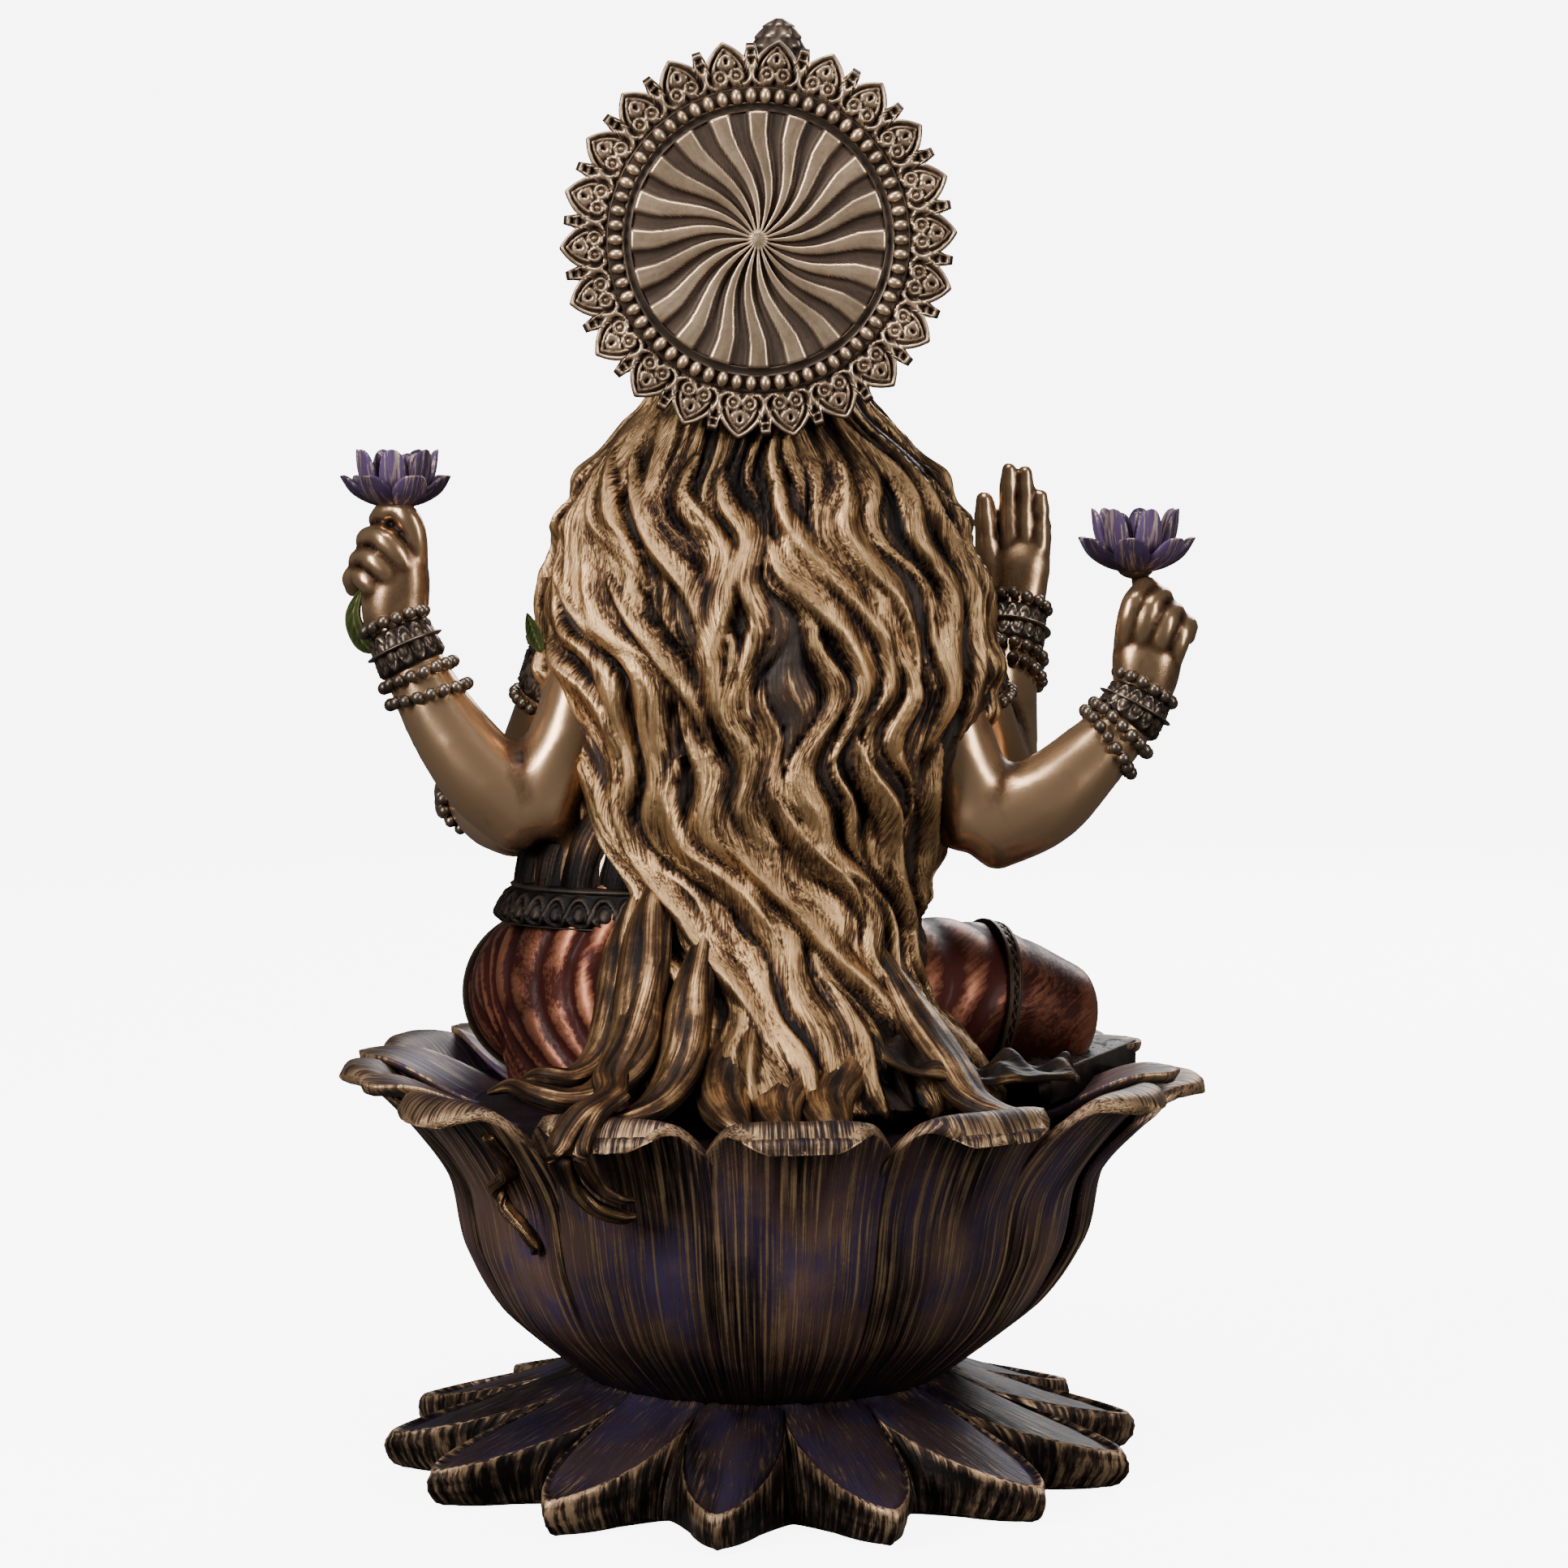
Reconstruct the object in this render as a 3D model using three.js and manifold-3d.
// A seated four-armed goddess on a lotus throne, with a rayed halo disc behind the head.
// Millimetres, +Z up, the goddess faces -Y. The origin is the middle of the underside.
import * as THREE from "three";
import { mergeVertices } from "three/addons/utils/BufferGeometryUtils.js";
import Module from "manifold-3d";

const wasm = await Module();
wasm.setup();

// Driving dimensions of the throne
const seatHeight = 62; // floor to the seat of the lotus
const seatRadius = 46;
const neckRadius = 31; // waist between the foot petals and the bowl
const neckHeight = 16;
const bowlRimRadius = 52; // bowl where its petals start to spread
const tipReach = 19; // how far a petal's tip stands out past that
const nearTipDrop = 8.5; // how much shorter the tips are at the back
const tipRise = 6; // tips above the seat
const lipThickness = 2.6;
const petalHalfAngle = 16.4; // degrees, more than half of a petal's share of the circle
const frontPetalFullness = 0.115;
const fullPetalTurn = 110; // degrees from straight back to the fullest petal
const longTipTurn = 97; // degrees to the petal that reaches furthest
const longTipReach = 4.4;
const longTipDrop = 4.2;
const footTipRadius = 64;
const footNotchRadius = 48;
const footEdgeHeight = 5.6;
const petalCount = 12; // of the bowl
const footPetalCount = 14;
const samplesPerPetal = 6;
const bowlPetalTurn = 6; // degrees from straight back to the first bowl petal
const footPetalTurn = -6.5; // degrees to the first foot petal
const innerPetalsFrom = 0.7; // cosine of the turn at which the inner petals stop

// Driving dimensions of the figure
const figureHeight = 178; // seat to the tip of the crown
const seatGap = 0.35; // clearance between the castings
const matThickness = 5.8;
const matLength = 48;
const matWidth = 56;
const matTurn = 66; // degrees
const matCorner = { x: -1.235 * bowlRimRadius, y: -0.404 * bowlRimRadius }; // beside the right knee

// Driving dimensions of the halo disc
const haloRadius = 31.9;
const haloRise = 140.6 / 178; // share of the figure's height
const haloThickness = 3.4;
const haloStandoff = 21 / 178; // from the axis back to the disc, as a share of the height
const haloBossRadius = 8;
const rayDiscRadius = 20;
const rayRelief = 0.8;
const beadRingInner = 21.4;
const beadRingOuter = 24.4;
const beadRelief = 1.1;
const heartCount = 22;
const heartTurn = 5.9; // degrees from the top to the first palmette
const heartDepth = 3.2;
const rayCount = 20;
const raySweep = 18; // degrees that a ray turns on its way out
const haloOffset = 0.6; // the disc's centre to the side of the axis

// Finish
const bronze = { color: 0x8a6a4a, roughness: 0.38, metalness: 0.75 };
const petalPurple = { color: 0x4c3c46, roughness: 0.45, metalness: 0.5 };
const paleBronze = { color: 0xa3825f, roughness: 0.38, metalness: 0.8 };

const unionTolerance = 0.12; // the finest step that the figure's facets keep
const pose = figureHeight / 178; // pose points are written for a figure 178 tall
const haloBossReach = haloStandoff * figureHeight;
const RAD = Math.PI / 180;
const mix = (a, b, t) => a + (b - a) * t;
const smooth = (a, b, x) => {
  const t = Math.min(1, Math.max(0, (x - a) / (b - a)));
  return t * t * (3 - 2 * t);
};

// Geometry helpers

function solidFrom(geometry) {
  const plain = geometry.index ? geometry : mergeVertices(geometry);
  const copy = plain.clone();
  copy.deleteAttribute("normal");
  copy.deleteAttribute("uv");
  const merged = mergeVertices(copy, 1e-4);
  return new wasm.Manifold(
    new wasm.Mesh({
      numProp: 3,
      vertProperties: merged.attributes.position.array,
      triVerts: new Uint32Array(merged.index.array),
    }),
  );
}

function geometryFrom(solid) {
  const mesh = solid.getMesh();
  const geometry = new THREE.BufferGeometry();
  geometry.setAttribute(
    "position",
    new THREE.Float32BufferAttribute(mesh.vertProperties, 3),
  );
  geometry.setIndex(Array.from(mesh.triVerts));
  geometry.computeVertexNormals();
  return geometry;
}

// Closed skin over rings of points, each ring turning the same way, with a point at each end.
function skin(rings, firstPole, lastPole) {
  const n = rings[0].length;
  const points = [firstPole, ...rings.flat(), lastPole];
  const index = [];
  const at = (ring, k) => 1 + ring * n + (k % n);
  for (let k = 0; k < n; k++) {
    index.push(0, at(0, k + 1), at(0, k));
    for (let j = 0; j + 1 < rings.length; j++) {
      index.push(at(j, k), at(j, k + 1), at(j + 1, k + 1));
      index.push(at(j, k), at(j + 1, k + 1), at(j + 1, k));
    }
    index.push(points.length - 1, at(rings.length - 1, k), at(rings.length - 1, k + 1));
  }
  const geometry = new THREE.BufferGeometry().setFromPoints(points);
  geometry.setIndex(index);
  return geometry;
}

// Closed skin over rings that may hold different numbers of points, each from turn 0 and
// turning clockwise.
function zippedSkin(rings, firstPole, lastPole) {
  const points = [firstPole, ...rings.flat(), lastPole];
  const index = [];
  let from = 1;
  rings.forEach((ring, j) => {
    const n = ring.length;
    if (j === 0) for (let k = 0; k < n; k++) index.push(0, 1 + k, 1 + ((k + 1) % n));
    const next = rings[j + 1];
    if (!next) {
      for (let k = 0; k < n; k++) index.push(points.length - 1, from + ((k + 1) % n), from + k);
      return;
    }
    const m = next.length;
    let a = 0;
    let b = 0;
    while (a < n || b < m) {
      const stepInner = b >= m || (a < n && (a + 1) / n <= (b + 1) / m);
      if (stepInner) {
        index.push(from + (a % n), from + n + (b % m), from + ((a + 1) % n));
        a += 1;
      } else {
        index.push(from + (a % n), from + n + (b % m), from + n + ((b + 1) % m));
        b += 1;
      }
    }
    from += n;
  });
  const geometry = new THREE.BufferGeometry().setFromPoints(points);
  geometry.setIndex(index);
  return geometry;
}

// A limb or body: a skin lofted along a smooth line through stations
// [x, y, z, half width, half depth towards the back, half depth towards the front].
function loft(stations, options = {}) {
  const { sides = 12, steps = 8, up = "y", relief = null, cap = 0.55, turn = 0 } = options;
  const round = options.angles ?? Array.from({ length: sides }, (_, k) => (k / sides) * Math.PI * 2);
  const spine = new THREE.CatmullRomCurve3(
    stations.map(([x, y, z]) => new THREE.Vector3(x, y, z)),
    false,
    "centripetal",
  );
  const size = new THREE.CatmullRomCurve3(
    stations.map(([, , , w, d = w, f = d]) => new THREE.Vector3(w, d, f)),
    false,
    "catmullrom",
    0.4,
  );
  const refs = {
    y: new THREE.Vector3(0, 1, 0),
    z: new THREE.Vector3(0, 0, 1),
    side: new THREE.Vector3(-Math.cos(turn), -Math.sin(turn), 0),
  };
  const ref = refs[up];
  const rings = [];
  const ends = [];
  for (let i = 0; i <= steps; i++) {
    const t = i / steps;
    const centre = spine.getPoint(t);
    const along = spine.getTangent(t);
    const side = ref.clone().cross(along).normalize();
    const out = along.clone().cross(side);
    const { x: w, y: d, z: f } = size.getPoint(t);
    const ring = [];
    for (const a of round) {
      const grow = relief ? relief(a, t) : 1;
      const c = Math.cos(a) * w * grow;
      const s = Math.sin(a) * (Math.sin(a) > 0 ? d : f) * grow;
      ring.push(centre.clone().addScaledVector(side, c).addScaledVector(out, s));
    }
    rings.push(ring);
    if (i === 0) ends.push(centre.clone().addScaledVector(along, -cap * Math.min(w, d)));
    if (i === steps) ends.push(centre.clone().addScaledVector(along, cap * Math.min(w, d)));
  }
  return solidFrom(skin(rings, ends[0], ends[1]));
}

function ball([x, y, z], [rx, ry, rz], across = 10, down = 6) {
  const geometry = new THREE.SphereGeometry(1, across, down);
  geometry.scale(rx, ry, rz);
  geometry.translate(x, y, z);
  return solidFrom(geometry);
}

// Throne

const lerpTable = (table, t) => {
  const x = t * (table.length - 1);
  const i = Math.min(table.length - 2, Math.floor(x));
  return table[i].map((value, k) => mix(value, table[i + 1][k], x - i));
};

// Middle line of a bowl petal as [radius, height], from the neck to the tip.
function petalLine(azimuth, t) {
  const back = Math.max(0, Math.cos(azimuth)) ** 2;
  const full = frontPetalFullness * Math.max(0, Math.cos(azimuth - fullPetalTurn * RAD)) ** 6;
  const long = Math.max(0, Math.cos(azimuth - longTipTurn * RAD)) ** 12;
  const rise = (share) => mix(neckHeight * 0.94, seatHeight, share);
  const reach = bowlRimRadius + tipReach - nearTipDrop * back + longTipReach * long;
  const line = [
    [neckRadius * 0.97, rise(0)],
    [mix(neckRadius, bowlRimRadius, 0.62), rise(0.25)],
    [mix(neckRadius, bowlRimRadius, 0.92), rise(0.49)],
    [mix(neckRadius, bowlRimRadius, 1.04), rise(0.73)],
    [mix(bowlRimRadius, reach, 0.36), rise(0.91) - longTipDrop * long * 0.3],
    [mix(bowlRimRadius, reach, 0.72), rise(1) + tipRise * 0.45 - longTipDrop * long * 0.8],
    [reach, rise(1) + tipRise * 0.8 - longTipDrop * long],
  ];
  const [r, z] = lerpTable(line, t);
  return [r * (1 + full * Math.sin(Math.PI * Math.min(1, t * 1.25)) ** 0.7), z];
}

// Point of the bowl: u runs across a petal, v up it to its edge, inset goes into the wall.
function bowlPoint(u, v, azimuth, inset = 0) {
  const share = (u * 180) / petalCount / petalHalfAngle;
  const edge = 0.55 + 0.45 * ((1 - Math.abs(share)) / 0.94) ** (1 / 3);
  const t = v * Math.min(1, edge);
  const [r, z] = petalLine(azimuth, t);
  const t2 = Math.min(1, t + 0.04);
  const [r2, z2] = petalLine(azimuth, t2);
  const [r1, z1] = petalLine(azimuth, t2 - 0.05);
  const length = Math.hypot(r2 - r1, z2 - z1);
  const cupped = 1 - 0.055 * Math.abs(u) ** 2.5 * (1 - 0.6 * smooth(0.6, 1, t)) * smooth(0, 0.2, t);
  return {
    r: r * cupped - (inset * (z2 - z1)) / length,
    z: z + (inset * (r2 - r1)) / length,
  };
}

// Inner face of the bowl, share 0 at the lip and 1 well inside. Between two outer petals the
// tip of an inner one stands up, except where the hair lies on the rim.
function innerFace(u, azimuth, share) {
  const wall = bowlPoint(u, mix(0.985, 0.88, share), azimuth, lipThickness);
  const clearOfHair = smooth(innerPetalsFrom, innerPetalsFrom - 0.4, Math.cos(azimuth - 4 * RAD));
  const tip = clearOfHair * smooth(0.55, 1, Math.abs(u));
  const reach = bowlRimRadius + tipReach * mix(0.95, 0.5, share);
  return {
    r: mix(wall.r, reach, tip),
    z: mix(wall.z, seatHeight + tipRise * mix(1, 0.6, share), tip),
  };
}

// Foot petals spread on the floor: u runs across a petal, v from the neck out to the edge.
function footPoint(u, v) {
  const outline = mix(footNotchRadius, footTipRadius, (1 - Math.abs(u) ** 1.15) ** 1.25);
  const swell = 0.14 * smooth(0.72, 0.9, v) - 0.27 * Math.abs(u) ** 2 * Math.sin(v * Math.PI);
  return {
    r: mix(neckRadius * 1.02, outline, v),
    z: mix(neckHeight, footEdgeHeight, v ** 0.75) + swell * footEdgeHeight,
  };
}

function throneSolid(grow) {
  const acrossPetal = (k) => {
    const share = (k % samplesPerPetal) / samplesPerPetal;
    return share > 0.5 ? (share - 1) * 2 : share * 2;
  };
  const ringOf = (petals, firstTurn, shift, at) =>
    Array.from({ length: petals * samplesPerPetal }, (_, k) => {
      const azimuth = firstTurn * RAD - (k / petals / samplesPerPetal) * Math.PI * 2;
      const { r, z } = at(acrossPetal(k + shift), azimuth);
      return new THREE.Vector3(-Math.sin(azimuth) * r, Math.cos(azimuth) * r, z);
    });
  const foot = (at) => ringOf(footPetalCount, footPetalTurn, 0, at);
  const half = samplesPerPetal / 2;
  const bowl = (at) => ringOf(petalCount, bowlPetalTurn - 180 / petalCount, half, at);
  const rings = [
    foot((u) => ({ r: footPoint(u, 1).r * 0.985, z: 0 })),
    foot((u) => ({ r: footPoint(u, 1).r, z: footPoint(u, 1).z * 0.8 })),
    ...[0.95, 0.5].map((v) => foot((u) => footPoint(u, v))),
    ...[0.02, 0.2, 0.4, 0.58, 0.75, 0.9, 1].map((v) =>
      bowl((u, azimuth) => bowlPoint(u, v, azimuth)),
    ),
    bowl((u, azimuth) => innerFace(u, azimuth, 0)),
    bowl((u, azimuth) => innerFace(u, azimuth, 1)),
    bowl(() => ({ r: seatRadius, z: seatHeight })),
  ];
  const middle = [0, seatHeight].map((z) => new THREE.Vector3(0, 0, z));
  const whole = zippedSkin(rings, ...middle);
  return solidFrom(grow > 0 ? grown(whole, grow) : whole);
}

function grown(geometry, by) {
  const copy = geometry.clone();
  copy.computeVertexNormals();
  const p = copy.attributes.position;
  const n = copy.attributes.normal;
  for (let i = 0; i < p.count; i++)
    p.setXYZ(i, p.getX(i) + n.getX(i) * by, p.getY(i) + n.getY(i) * by, p.getZ(i) + n.getZ(i) * by);
  return copy;
}

// Figure. Its points are written from the middle of the seat, for a figure 178 tall.

const torso = [
  [8, 3, -1, 33, 22],
  [10, 2, 13, 34, 22],
  [13, 1, 25, 31, 20],
  [15, -1, 35, 26.5, 17.5],
  [12.5, -2, 43, 20.5, 14, 13],
  [10, -2.5, 51, 17, 12.5, 12],
  [7, -3, 62, 20, 13.5, 13],
  [4, -3, 75, 24, 14.5, 14],
  [2, -1, 86, 28, 13, 12],
  [1, 0, 95, 24, 11, 10],
  [0.5, 0.5, 101, 13, 9, 8.6],
  [0.2, 0, 106, 7.8, 7.8, 7.4],
  [0, -0.5, 113, 7.2, 7.4, 7],
  [0, -1, 120, 7.5, 8, 8],
];

// Hair down the back: half width, depth to the back, depth to the front.
const hairFall = [
  [0, 2, 149, 8, 9, 5],
  [0, 2, 142, 14, 16, 6],
  [0, 2, 126, 15.8, 18.5, 5],
  [0.3, 2, 114, 18, 18, 4],
  [0.5, 2, 106, 25, 18, 4],
  [0, 2, 98, 31, 20.5, 5],
  [-0.2, 2, 88, 35, 23.5, 6],
  [-0.7, 2, 78, 36.8, 25, 6],
  [-1.8, 2, 68, 37, 25.5, 6],
  [-2, 2, 60, 34.4, 25, 6],
  [-0.8, 3, 50, 31.4, 24, 6],
  [-0.4, 4, 42, 28.6, 22, 6],
  [-0.9, 5, 34, 26.4, 21.5, 6],
  [-1.2, 7, 24, 25, 22.5, 7],
  [-3.5, 10, 15, 26.5, 25.5, 8],
  [-6, 13, 8, 30, 29.5, 8],
  [-7, 15, 3, 33, 31, 8],
  [-6, 11, -1, 27, 25, 7],
];
const hairLocks = 8; // ridges across the back
const hairRelief = 0.1; // ridge height as a share of the depth of hair

// Locks and a cloth end that lie on the seat: [x, y, z, half width, half thickness]
const seatLocks = [
  [
    [10, 24, 20, 5, 4], [18, 34, 15, 4.6, 4], [27, 42, 9.6, 3.8, 3],
    [33, 45, 8, 3, 2.4], [39, 43, 7.4, 1.8, 1.6],
  ],
  [[-25, 34, 12, 5, 1.8], [-33, 32, 9, 4.5, 1.6], [-41, 28, 9.5, 4, 1.4], [-49, 20, 7, 3, 1.2]],
];
// A lock that leaves the fall, crosses the rim and hooks back below it
const hookLockRoot = [[9, 27, 16, 5, 4], [18, 38, 12.4, 4.4, 3.6]];
const hookLockOverRim = [
  // turn from straight back, share of the tips' radius, height in tip rises, width, thickness
  [-26, 0.83, 1.5, 3.8, 2.8],
  [-28, 0.96, 1.1, 3.4, 2.6],
  [-28.4, 1.04, 0.33, 3, 2.4],
  [-27.6, 1.02, -0.84, 2.6, 2.4],
  [-25.4, 0.975, -1.73, 2.3, 2.2],
  [-20.4, 0.945, -1.93, 1.4, 1.6],
];

const face = {
  chinUnder: 112,
  top: 149,
  rows: [112.8, 114.6, 117.4, 119.3, 121.2, 122.8, 124.4, 127.4, 130.2, 133.2, 138, 145],
  outline: [
    // height, half width, depth to the front, depth to the back
    [112, 3.2, 11.2, 5],
    [114.4, 6, 12.6, 8],
    [118, 8.6, 13.3, 11],
    [122, 10.4, 13.6, 13],
    [127, 12, 13.6, 15],
    [131, 12.8, 13.6, 16],
    [136, 13, 13.2, 16.2],
    [142, 11.4, 11.6, 14.5],
    [148, 7.6, 8, 9],
  ],
};

const legs = [
  // right thigh, left thigh, right shin, left shin, right foot, left foot
  [
    [-2, 2, 14, 15, 14.2], [-20, -3, 15, 16.5, 14],
    [-36, -8.5, 14, 14.4, 13.2], [-50.6, -13.2, 10.6, 11.2, 10.2],
  ],
  [[14, 2, 13, 17, 15], [27, -5, 17, 20.6, 16.6], [35, -18, 14.6, 16, 14.4], [38, -30, 10.8, 12, 11.5]],
  [[-46, -17, 9.5, 10, 9.5], [-32, -27, 9.5, 9.5, 9], [-14, -33, 9, 8, 8], [4, -35, 8, 5.5, 5.5]],
  [[37, -33, 9, 10, 9.5], [22, -41, 8.5, 9, 8.5], [6, -44, 7.5, 7.5, 7.5], [-9, -44, 6, 5.2, 5.2]],
  [[4, -35, 8, 4.6, 4.6], [12, -35, 6.5, 4.6, 4], [21, -33, 5, 4.4, 2.8]],
  [[-9, -44, 6, 4.6, 4.6], [-16, -44, 5.5, 4.6, 4], [-24, -41, 5, 4.4, 2.8]],
];

const arms = [
  // rear left, rear right, front right, front left: upper arm then forearm
  [[20, 2, 93, 8, 8], [28, 3.4, 86, 8.2, 8.4], [34, 6, 58, 7.8, 7.8], [38, 7, 47.8, 8, 8]],
  [
    [38.4, 7, 47.6, 8, 8],
    [46, 7, 53.8, 7.4, 7.4],
    [52.8, 6.5, 62.8, 6.2, 6.2],
    [57.6, 6, 72, 5.1, 5.1],
    [61, 5.2, 79.5, 4.6, 4.2],
  ],
  [[-21, 2, 93, 8, 8], [-28, 3.4, 84, 8.2, 8.4], [-33.5, 6, 57, 7.8, 7.8], [-36.5, 7, 45.8, 8.2, 8.2]],
  [
    [-36.8, 7, 45.4, 8.2, 8.2],
    [-46, 7, 49.4, 7.6, 7.6],
    [-54, 6.5, 56.5, 6.1, 6.1],
    [-60, 6, 62.8, 5, 5],
    [-63.2, 5.2, 68.5, 4.5, 4.2],
  ],
  [[-20, -2, 92, 8, 8], [-29, -5, 84, 8.6, 8.6], [-35, -8, 66, 7.6, 7.6], [-39.6, -12, 50, 7.2, 7.2]],
  [
    [-39.8, -12.5, 49.5, 7.1, 7.2],
    [-41, -19, 60, 6, 6.4],
    [-42.4, -25, 71, 5, 5.2],
    [-44, -29.5, 81, 4.4, 4],
  ],
  [[20, -2, 92, 8, 8], [29, -5, 84, 8.6, 8.6], [35.5, -9, 66, 7.6, 7.6], [41.5, -14, 45.4, 7.4, 7.4]],
];
const loweredForearm = [
  [41.5, -14, 45, 7.4, 7.4],
  [46.5, -23, 45.2, 6.6, 6.4],
  [50.3, -32, 46.8, 5.2, 5.2],
  [51.5, -38, 48, 4.6, 4.2],
];

// Each hand: the palm, then the five fingers from the thumb to the little finger.
const hands = [
  {
    palm: [[60.4, 5.2, 78.6, 4.8, 3.8], [59.8, 4.6, 84, 5.4, 4.3], [58.6, 4.4, 90, 3.8, 3.6]],
    fingers: [
      [[58, 1.5, 82, 2.4], [58.6, -2, 88, 2.2], [61.5, -2.6, 94, 1.9]],
      [[57.2, 5, 89, 2.2], [57.8, 5.6, 94.8, 2.1], [60.2, 5, 97, 2], [63, 3, 96.6, 1.9]],
      [[58.4, 6, 87.2, 2.1], [61, 6.8, 91, 2.1], [64, 5, 92.8, 2], [65.2, 2, 91.6, 1.9]],
      [[60.2, 6, 85, 2.1], [63, 6.6, 88, 2.1], [65.4, 4.8, 89.4, 1.9], [66.4, 2, 88, 1.8]],
      [[61.6, 5.6, 82.4, 2], [64.6, 6, 85.4, 2], [67, 4.2, 86.6, 1.9], [67.6, 1.8, 85.2, 1.7]],
    ],
  },
  {
    palm: [[-62.4, 5.2, 66.6, 4.8, 3.8], [-63.3, 4.8, 72, 5.9, 4.3], [-63.8, 4.5, 77, 5.2, 3.8]],
    fingers: [
      [[-61.4, 1.5, 70.6, 2.4], [-61.2, -2, 76, 2.2], [-62.6, -2.4, 82.4, 1.9]],
      [[-59.9, 5.2, 75.4, 2.2], [-60.6, 6.6, 80.2, 2.1], [-62.4, 5.2, 84, 2], [-64, 2.6, 84.4, 1.9]],
      [[-62.1, 5.8, 75, 2.2], [-63, 7.2, 79.6, 2.1], [-64.8, 5.4, 82.6, 2], [-66, 2.6, 81.8, 1.9]],
      [[-64.6, 5.8, 73.6, 2.2], [-65.8, 7, 77.6, 2.1], [-67.2, 5, 80.2, 1.9], [-68, 2.2, 79, 1.8]],
      [[-67, 5.2, 72.2, 2], [-68.4, 6, 75.8, 1.9], [-69.8, 4, 78.4, 1.8], [-70.2, 1.6, 77, 1.7]],
    ],
  },
  {
    palm: [[-44.2, -29.5, 80, 4.8, 3.4], [-44.8, -30.6, 87, 5.1, 3.2], [-45.1, -31.4, 93.6, 4.6, 2.7]],
    fingers: [
      [[-40.4, -30.5, 85, 2.3], [-38.8, -31.8, 91, 2.1], [-38.2, -32.4, 98, 1.8]],
      [[-42.4, -31.6, 91.6, 1.9], [-42.4, -32.4, 98.4, 1.8], [-42.4, -32.6, 103.6, 1.6]],
      [[-45.2, -31.6, 91.6, 1.9], [-45.2, -32.4, 98.2, 1.8], [-45.3, -32.6, 103, 1.6]],
      [[-48, -31.6, 90.6, 1.9], [-48, -32.2, 95.6, 1.8], [-48.1, -32.4, 99, 1.6]],
      [[-48.2, -33, 89, 1.8], [-48.4, -33.8, 92.4, 1.7], [-48.4, -34.2, 95.4, 1.5]],
    ],
  },
  {
    palm: [[51.5, -38, 48, 4.8, 3.4], [52.2, -43, 47.6, 6, 3], [52.6, -48, 46.6, 6.2, 2.7]],
    fingers: [
      [[47.4, -41, 48.4, 2.3], [45.8, -46, 49.4, 2.1], [46.6, -50.4, 49.4, 1.8]],
      [[48.8, -48, 46.6, 1.9], [49.2, -53, 45.4, 1.8], [49.4, -57, 43.4, 1.6]],
      [[51.6, -49, 46.4, 1.9], [52, -54.5, 44.8, 1.8], [52.2, -58.6, 42.4, 1.6]],
      [[54.2, -48.6, 46, 1.9], [54.8, -53.6, 44.4, 1.8], [55, -57.2, 42, 1.6]],
      [[56.4, -47.4, 45.6, 1.8], [57.2, -51.4, 44, 1.7], [57.4, -54, 42.2, 1.5]],
    ],
    up: "z",
  },
];

// Bangles: the share of a forearm's length they cover and how far they stand out
const bangles = { from: 0.68, to: 0.97, swell: 1.24 };

const crownLean = -0.065; // sideways, as a share of the rise
const crownProfile = [
  [0, 136],
  [14, 137],
  [15.3, 141.6],
  [13.4, 143.6],
  [12.8, 150],
  [10.8, 151.4],
  [9.6, 157.4],
  [7.6, 158.6],
  [4.2, 165.4],
  [3, 168.6],
  [4.1, 172],
  [2.6, 176.2],
  [0, 178],
];

const blooms = [
  { at: [60.4, 3, 97.4], stem: [[60.6, 2.4, 99], [61.6, 0.6, 88], [64, -3, 78]] },
  { at: [-61.6, 2.6, 86], stem: [[-62.6, 2.4, 88], [-63.6, 0.4, 78], [-66.4, -3, 66]] },
];
const bloomRadius = 9.6;
const bloomHeight = 9.4;
const bloomPetals = 7;

const S = (stations) => stations.map((row) => row.map((x) => x * pose));

// A bloom as one skin: a ring of wide petals and, half a petal round, a steeper ring inside it.
function bloomSolid([x, y, z]) {
  const n = bloomPetals * 3;
  const ring = (tip, notch, shift) =>
    Array.from({ length: n }, (_, k) => {
      const u = Math.abs((((k / 3 + shift + 0.5) % 1) - 0.5) * 2);
      const turn = (k / n) * Math.PI * 2 + 0.4;
      const r = mix(tip[0], notch[0], u ** 1.3) * bloomRadius * pose;
      const h = mix(tip[1], notch[1], u ** 1.3) * bloomHeight * pose;
      return new THREE.Vector3(x + Math.cos(turn) * r, y + Math.sin(turn) * r, z + h);
    });
  const rings = [
    ring([0.42, 0.02], [0.38, 0.05], 0),
    ring([1, 0.55], [0.6, 0.36], 0),
    ring([0.74, 0.5], [0.54, 0.5], 0),
    ring([0.58, 1], [0.4, 0.68], 0.5),
    ring([0.36, 0.74], [0.3, 0.62], 0.5),
  ];
  const pole = (h) => new THREE.Vector3(x, y, z + h * bloomHeight * pose);
  return solidFrom(skin(rings, pole(-0.05), pole(0.7)));
}

// Waving locks: how far the fall stands out at angle a and share t of its length.
function lockRelief(a, t) {
  const wave = 0.34 * Math.sin(t * 17 + 0.6) + 0.12 * Math.sin(t * 31 + 2 * a);
  const lean = 0.9 * smooth(0.35, 0.9, t);
  const ridge = Math.abs(Math.sin((a + wave - lean) * hairLocks));
  const back = smooth(-0.25, 0.3, Math.sin(a)) * smooth(0, 0.2, t);
  return 1 + back * hairRelief * (ridge - 0.4);
}

// The back of the fall is sampled closely and its hidden front coarsely.
const hairAngles = [
  ...Array.from({ length: 25 }, (_, k) => (-12 + (k * 204) / 24) * RAD),
  ...[228, 270, 312].map((a) => a * RAD),
];

const foldRelief = (a, t) => 1 + 0.035 * Math.sin(t * 26 + Math.cos(a) * 2.5);

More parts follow.
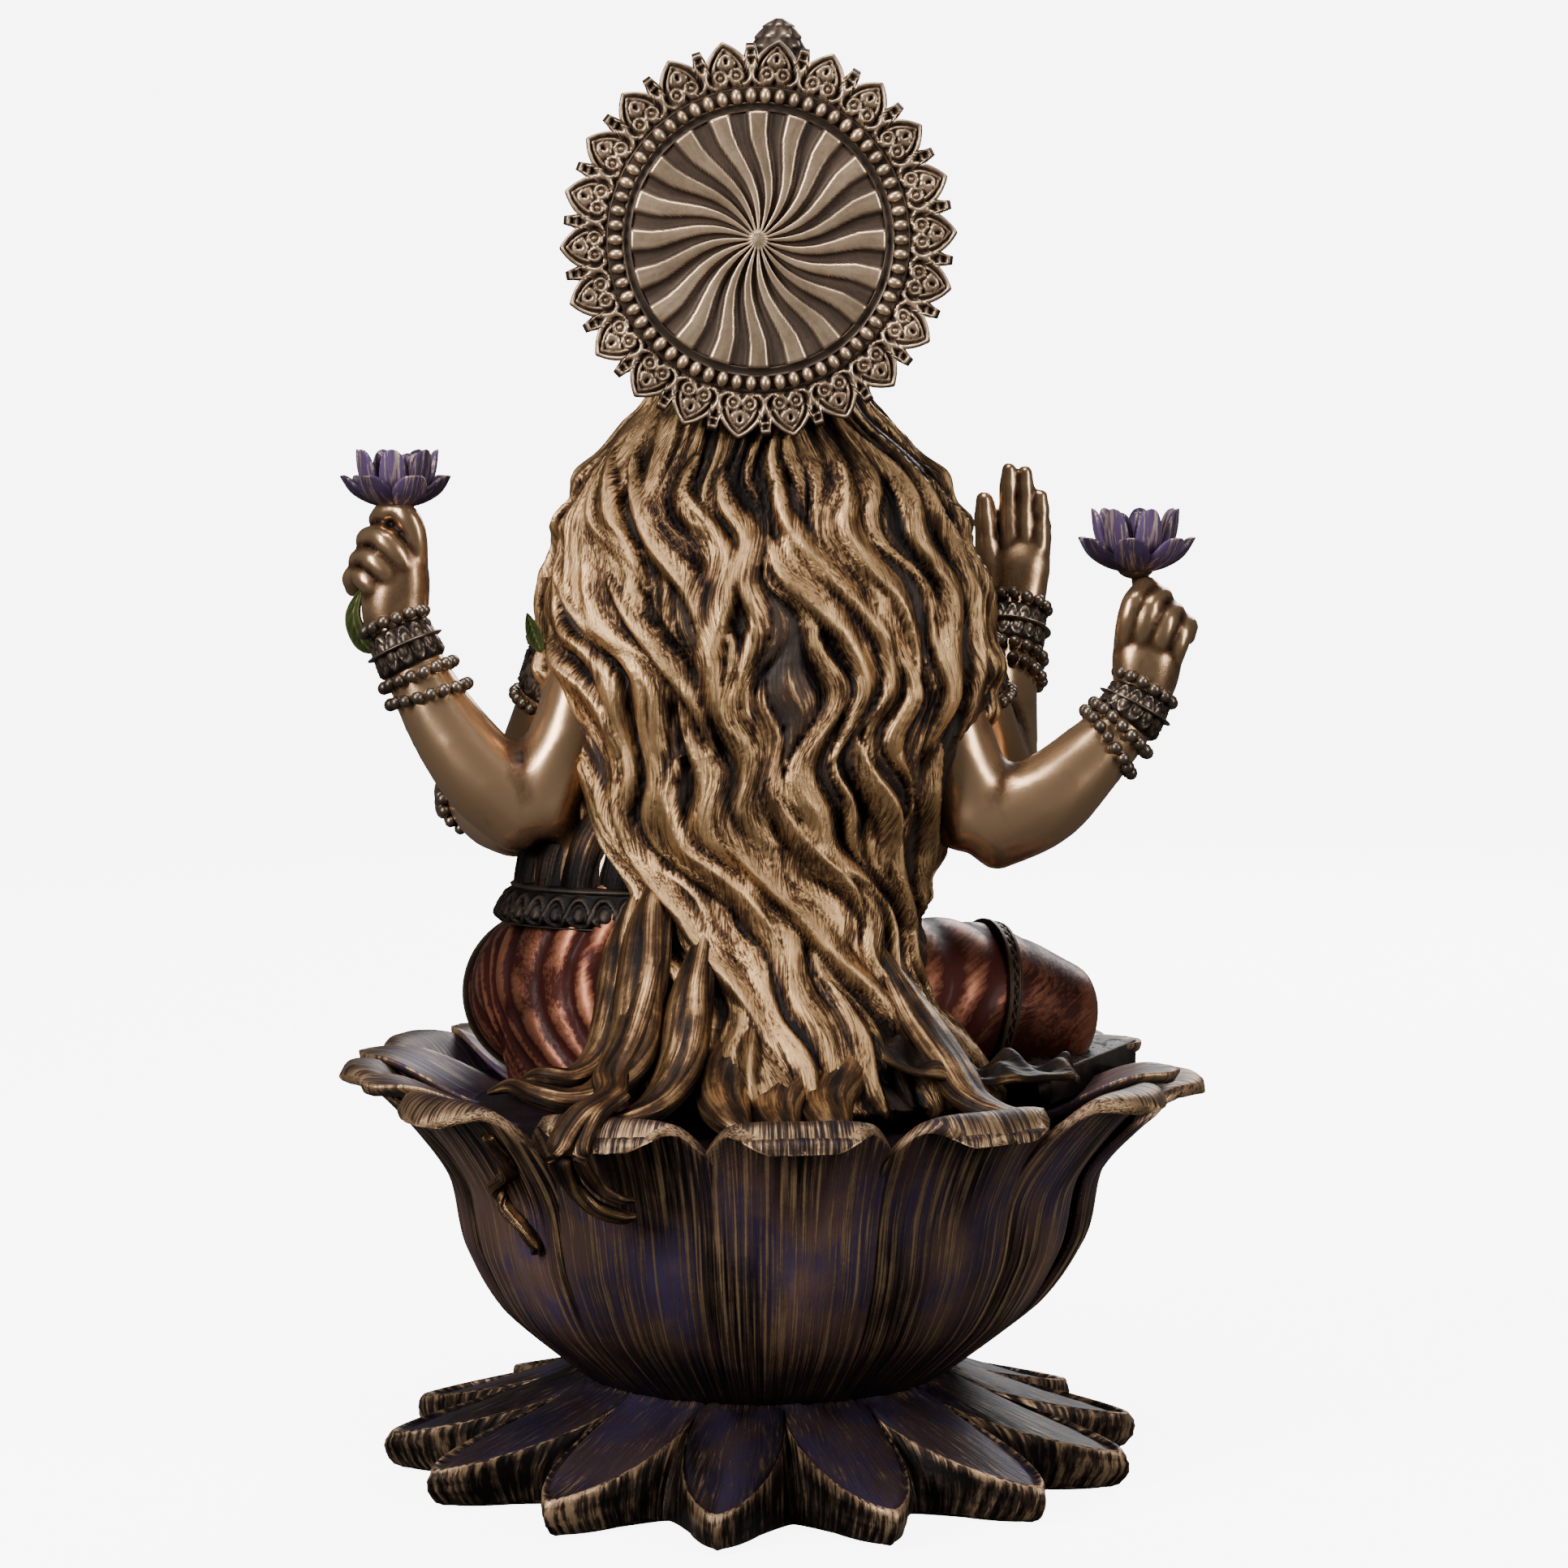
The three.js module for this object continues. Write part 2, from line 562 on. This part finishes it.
function headSolid() {
  const at = (z) => {
    const { outline } = face;
    let i = 0;
    while (i < outline.length - 2 && outline[i + 1][0] < z) i += 1;
    const t = (z - outline[i][0]) / (outline[i + 1][0] - outline[i][0]);
    return outline[i].map((value, k) => mix(value, outline[i + 1][k], t));
  };
  const bump = (x, x0, z, z0, wide, tall) =>
    Math.exp(-(((x - x0) / wide) ** 2) - ((z - z0) / tall) ** 2);
  const angles = [
    ...[-60, -42, -28, -19, -8, 0, 8, 19, 28, 42, 60],
    ...[90, 135, 180, 225, 270],
  ];
  const rings = face.rows.map((z) => {
    const [, w, front, back] = at(z);
    return angles.map((degrees) => {
      const a = degrees * RAD;
      const depth = Math.cos(a) > 0 ? front : back;
      const x = Math.sin(a) * w;
      let y = -Math.cos(a) * depth;
      if (Math.cos(a) > 0) {
        y -= 2.9 * bump(x, 0, z, 124.4, 1.9, 2.2) + 1.3 * bump(x, 0, z, 128.6, 1.4, 3.4);
        y += 1.3 * (bump(x, 5, z, 130, 2.6, 1.8) + bump(x, -5, z, 130, 2.6, 1.8));
        y -= 0.8 * (bump(x, 4.6, z, 133.2, 4, 1) + bump(x, -4.6, z, 133.2, 4, 1));
        y -= 1.2 * bump(x, 0, z, 119.4, 3.4, 1.1) + 1.1 * bump(x, 0, z, 114.6, 3.2, 1.8);
      }
      return new THREE.Vector3(x * pose, (y - 2) * pose, z * pose);
    });
  });
  const pole = (z) => new THREE.Vector3(0, -3 * pose, z * pose);
  return solidFrom(skin(rings, pole(face.chinUnder), pole(face.top)));
}

function figureSolid(throneGrown) {
  const limb = (stations, options) => loft(S(stations), { sides: 8, steps: 3, ...options });
  const swell = (_, t) => (t > bangles.from && t < bangles.to ? bangles.swell : 1);
  const braceleted = { steps: 6, relief: swell };
  const parts = [
    loft(S(torso), { sides: 11, steps: 7 }),
    headSolid(),
    loft(S(hairFall), { angles: hairAngles, steps: 13, relief: lockRelief }),
    solidFrom(
      new THREE.LatheGeometry(
        crownProfile.map(([r, z]) => new THREE.Vector2(r * pose, z * pose)),
        11,
      )
        .rotateX(Math.PI / 2)
        .applyMatrix4(new THREE.Matrix4().makeShear(0, 0, 0, 0, crownLean, 0))
        .translate(-crownLean * crownProfile[0][1] * pose, 0, 0),
    ),
    ball([-7.5 * pose, -11.5 * pose, 77 * pose], [9.4 * pose, 8.4 * pose, 9 * pose], 8, 5),
    ball([13.5 * pose, -11.5 * pose, 76 * pose], [9.4 * pose, 8.4 * pose, 9 * pose], 8, 5),
    limb([[15, -1, 29.5, 30, 20.5], [15, -1, 36, 27.6, 18.4]], { sides: 14, steps: 1, cap: 0.05 }),
    limb(loweredForearm, { up: "z", ...braceleted }),
  ];
  legs.forEach((stations, k) =>
    parts.push(
      k < 2
        ? limb(stations, { steps: 6, up: "z", relief: foldRelief })
        : limb(stations, { sides: 7, steps: 3, up: "z" }),
    ),
  );
  arms.forEach((stations, k) => parts.push(limb(stations, k % 2 ? braceleted : {})));
  for (const { palm, fingers, up = "y" } of hands) {
    parts.push(limb(palm, { sides: 7, steps: 2, up }));
    for (const finger of fingers)
      parts.push(limb(finger, { sides: 4, steps: finger.length - 1, up }));
  }
  for (const { at, stem } of blooms) {
    parts.push(bloomSolid(at.map((v) => v * pose)));
    parts.push(limb(stem.map((p) => [...p, 1.5]), { sides: 5, steps: 3 }));
  }
  for (const lock of seatLocks) parts.push(limb(lock, { sides: 5, steps: lock.length, up: "z" }));
  parts.push(hookLock());
  parts.push(haloBoss());
  parts.push(kneeMat());
  const whole = wasm.Manifold.union(parts)
    .simplify(unionTolerance)
    .translate([0, 0, seatHeight + seatGap]);
  return whole.subtract(throneGrown);
}

// The lock is rooted in the hair and its lower points follow the bowl's rim.
function hookLock() {
  const overRim = hookLockOverRim.map(([turn, share, rises, w, d]) => {
    const [tipRadius] = petalLine(turn * RAD, 1);
    const r = tipRadius * share;
    const flat = [-Math.sin(turn * RAD) * r, Math.cos(turn * RAD) * r, rises * tipRise];
    return [...flat, w * pose, d * pose];
  });
  return loft([...S(hookLockRoot), ...overRim], { sides: 6, steps: 8, up: "z" });
}

// Peg behind the head that the halo disc sits against
function haloBoss() {
  const boss = new THREE.CylinderGeometry(haloBossRadius, haloBossRadius, haloBossReach, 12);
  boss.translate(haloOffset, haloBossReach / 2, haloRise * figureHeight);
  return solidFrom(boss);
}

// Patterned mat under the right knee and the shins, its underside drawn in at the edges
function kneeMat() {
  const ring = (inset, z) => {
    const near = new THREE.Vector3(matCorner.x, matCorner.y, 0);
    const corners = [
      [inset, -inset],
      [inset, inset - matWidth],
      [matLength - inset, inset - matWidth],
      [matLength - inset, -inset],
    ];
    return corners.map(([x, y]) =>
      new THREE.Vector3(x, y, z).applyAxisAngle(new THREE.Vector3(0, 0, 1), matTurn * RAD).add(near),
    );
  };
  const rings = [
    ring(matLength * 0.13, matThickness * 0.1),
    ring(0, matThickness * 0.5),
    ring(0, matThickness),
  ];
  const middle = rings[0].reduce((sum, p) => sum.add(p), new THREE.Vector3()).divideScalar(4);
  return solidFrom(skin(rings, middle, middle.clone().setZ(matThickness)));
}

// Halo disc

function haloGeometry() {
  const face = haloThickness * 0.62;
  const beadWidth = beadRingOuter - beadRingInner;
  const ring = (count, radiusAt, heightAt, from = 0) =>
    Array.from({ length: count }, (_, k) => {
      const share = k / count;
      const turn = from + share * Math.PI * 2;
      const radius = radiusAt(share);
      return new THREE.Vector3(Math.cos(turn) * radius, -Math.sin(turn) * radius, heightAt(share));
    });
  const even = (radius, height) => ring(rayCount * 2, () => radius, () => height);
  const heartSide = (share) => Math.abs((((share * heartCount) % 1) - 0.5) * 2);
  const edge = (share) => haloRadius - heartDepth * heartSide(share) ** 1.4;
  const hearts = (radiusAt, heightAt) =>
    ring(heartCount * 4, radiusAt, heightAt, heartTurn * RAD);
  const rings = [
    hearts((share) => edge(share) * 0.99, () => 0),
    hearts(edge, () => face * 0.8),
    hearts(
      (share) => mix(beadRingOuter, edge(share), 0.55),
      (share) => (heartSide(share) > 0.6 ? face * 0.6 : face * 1.25),
    ),
    even(beadRingOuter + beadWidth * 0.15, face),
    even(beadRingOuter - beadWidth * 0.1, face + beadRelief),
    even(beadRingInner + beadWidth * 0.1, face + beadRelief),
    even(beadRingInner - beadWidth * 0.15, face * 0.7),
  ];
  // Rays: four points each, so that a bright ray stands over its sunk neighbour
  const around = rayCount * 4;
  for (const f of [1, 0.55, 0.14]) {
    const sweep = raySweep * RAD * (1 - smooth(0.15, 0.85, f));
    const radius = rayDiscRadius * f;
    rings.push(
      Array.from({ length: around }, (_, k) => {
        const raised = k % 4 < 2;
        const within = [0.04, 0.46, 0.54, 0.96][k % 4];
        const turn = ((Math.floor(k / 4) + within) / rayCount) * Math.PI * 2 + sweep;
        const height = face + (raised ? rayRelief : 0);
        return new THREE.Vector3(Math.cos(turn) * radius, -Math.sin(turn) * radius, height);
      }),
    );
  }
  const middle = new THREE.Vector3(0, 0, 0);
  return zippedSkin(rings, middle, new THREE.Vector3(0, 0, face + rayRelief * 1.4));
}

function material({ color, roughness, metalness }) {
  return new THREE.MeshStandardMaterial({ color, roughness, metalness });
}

function named(name, geometry, finish) {
  const mesh = new THREE.Mesh(geometry, material(finish));
  mesh.name = name;
  return mesh;
}

const throne = throneSolid(0);
const figure = figureSolid(throneSolid(seatGap));

const part = new THREE.Group();
part.add(named("lotus_throne", geometryFrom(throne), petalPurple));
part.add(named("goddess_figure", geometryFrom(figure), bronze));
const halo = named("halo_disc", haloGeometry(), paleBronze);
halo.rotation.x = -Math.PI / 2;
halo.position.set(haloOffset, haloBossReach + seatGap, seatHeight + haloRise * figureHeight);
part.add(halo);

export default part;
